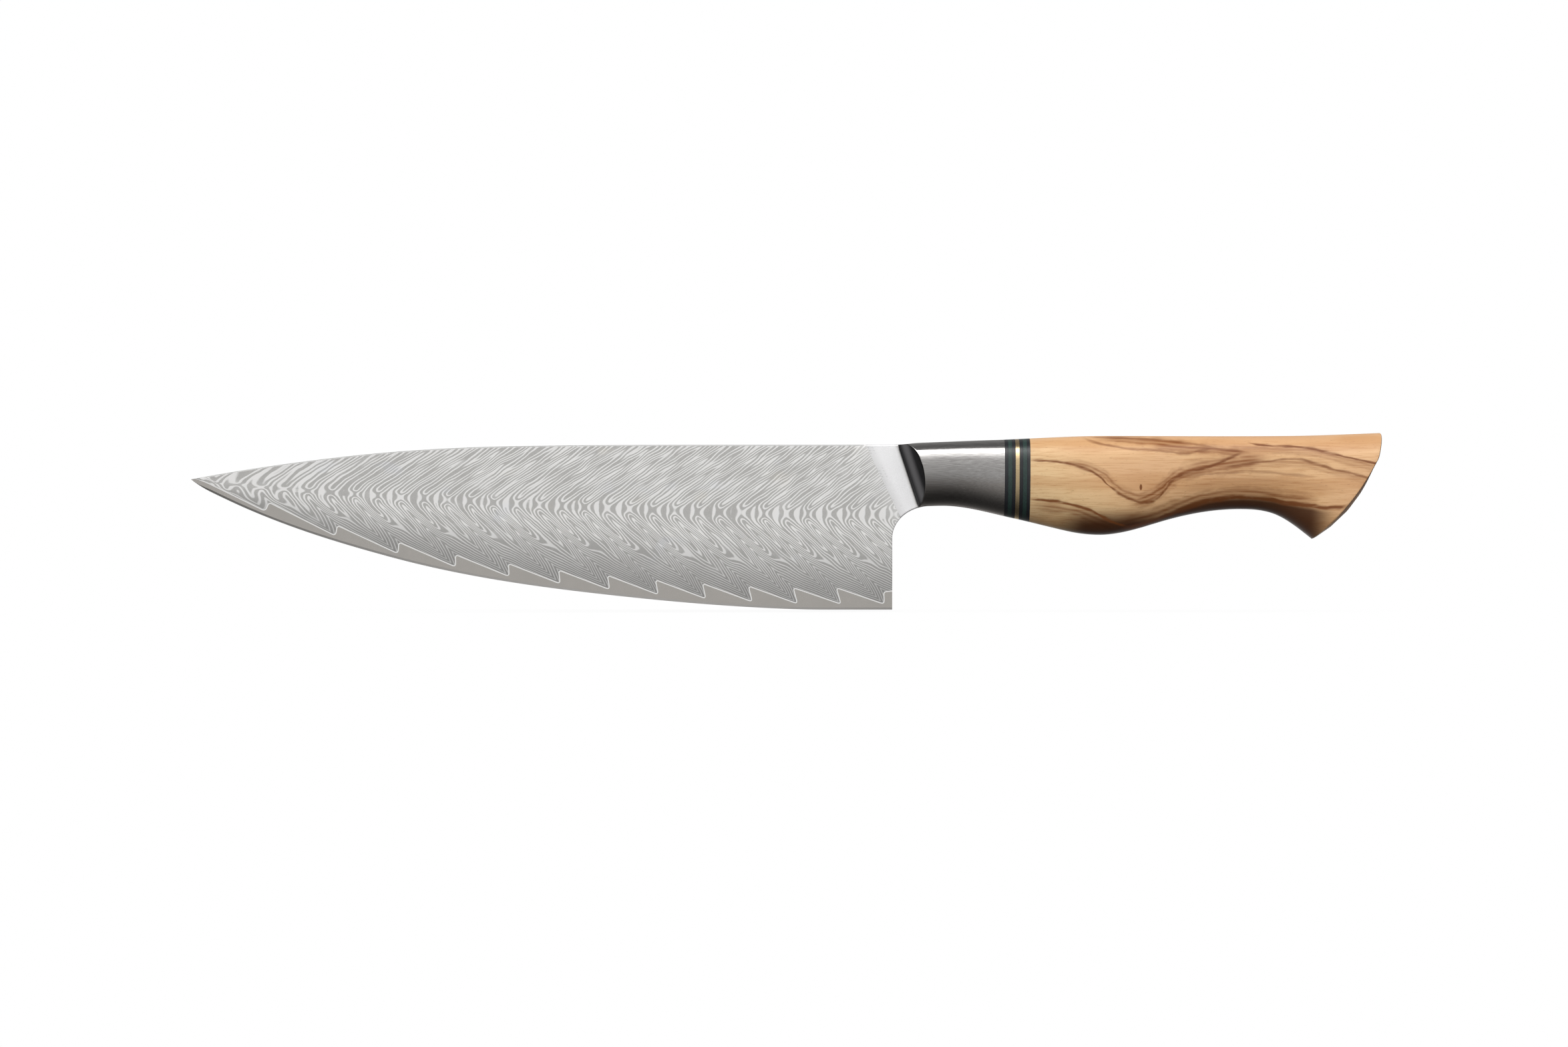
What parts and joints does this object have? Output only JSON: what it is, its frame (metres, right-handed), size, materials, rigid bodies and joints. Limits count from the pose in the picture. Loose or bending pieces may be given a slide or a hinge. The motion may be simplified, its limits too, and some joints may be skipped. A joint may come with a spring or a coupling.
{
  "type": "chef knife",
  "caption": "Chef knife with a laminated wave-patterned blade, a forged steel bolster, layered spacers and a contoured wooden handle on a hidden tang, for slicing and chopping food.",
  "frame": {"origin": "middle of the knife's length and thickness, level with the lowest point of the cutting edge", "axes": "+X from the tip towards the butt, +Y across the blade towards its right side, +Z from the cutting edge up to the spine"},
  "size_m": [0.3559, 0.024, 0.0529],
  "materials": {
    "core_steel": "fine ground satin, the hard layer that shows along the cutting edge",
    "cladding": "etched layered steel, pale lines on grey",
    "bolster_steel": "brushed to a half polish, satin on the neck",
    "black_fibre": "fine sanded fibre sheet",
    "green_fibre": "fine sanded fibre sheet, dark green",
    "spacer_brass": "sanded flush, half polished",
    "tang_steel": "rough ground",
    "adhesive": "cured resin",
    "olive_wood": "oiled and polished, brown veins along the grain"
  },
  "bodies": {
    "root": {"core_steel": "core_steel", "cladding_left": "cladding", "cladding_right": "cladding", "bolster": "bolster_steel", "spacer_black_front": "black_fibre", "spacer_green_front": "green_fibre", "spacer_black_mid_front": "black_fibre", "spacer_brass": "spacer_brass", "spacer_black_mid_rear": "black_fibre", "spacer_green_rear": "green_fibre", "spacer_black_rear": "black_fibre", "tang": "tang_steel", "adhesive_fill": "adhesive", "handle": "olive_wood"}
  },
  "joints": []
}
